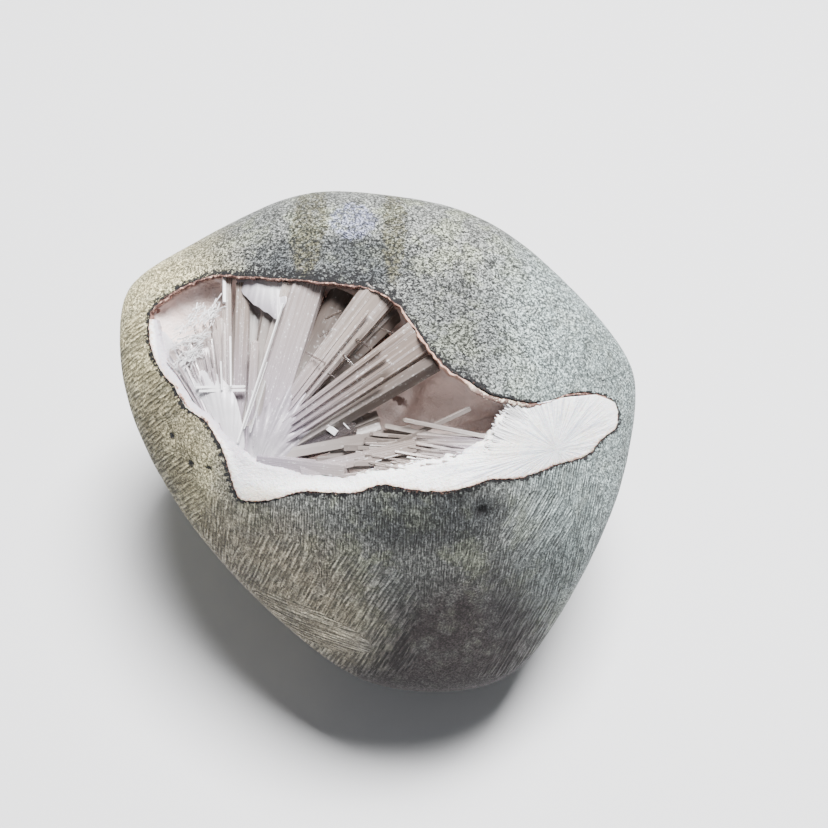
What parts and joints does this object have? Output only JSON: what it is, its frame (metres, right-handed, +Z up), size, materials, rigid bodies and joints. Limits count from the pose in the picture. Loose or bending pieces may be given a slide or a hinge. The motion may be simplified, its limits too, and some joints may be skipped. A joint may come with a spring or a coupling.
{
  "type": "scolecite spray",
  "caption": "Ground, rounded basalt nodule with a window onto a vug of radiating scolecite blades and needles, a thin pink rind and a flush white seam, resting on a ground facet.",
  "frame": {"origin": "middle of the footprint on the resting surface, under the middle of the outline", "axes": "+Z up from the base facet the stone rests on, +X to the right across the window, along the stone's longest side, -Y to the front, where the window leans"},
  "size_m": [0.0658, 0.0635, 0.0502],
  "materials": {
    "basalt": "ground grey-green basalt, fine salt-and-pepper grain with grinding grooves, matte",
    "rind": "thin pink-tan mineral skin, lumpy, matte",
    "scolecite": "colourless to milky white crystal, vitreous to silky"
  },
  "bodies": {
    "root": {"basalt_nodule": "basalt", "vug_rind": "rind", "scolecite_spray": "scolecite", "lodged_needle": "scolecite"}
  },
  "joints": []
}
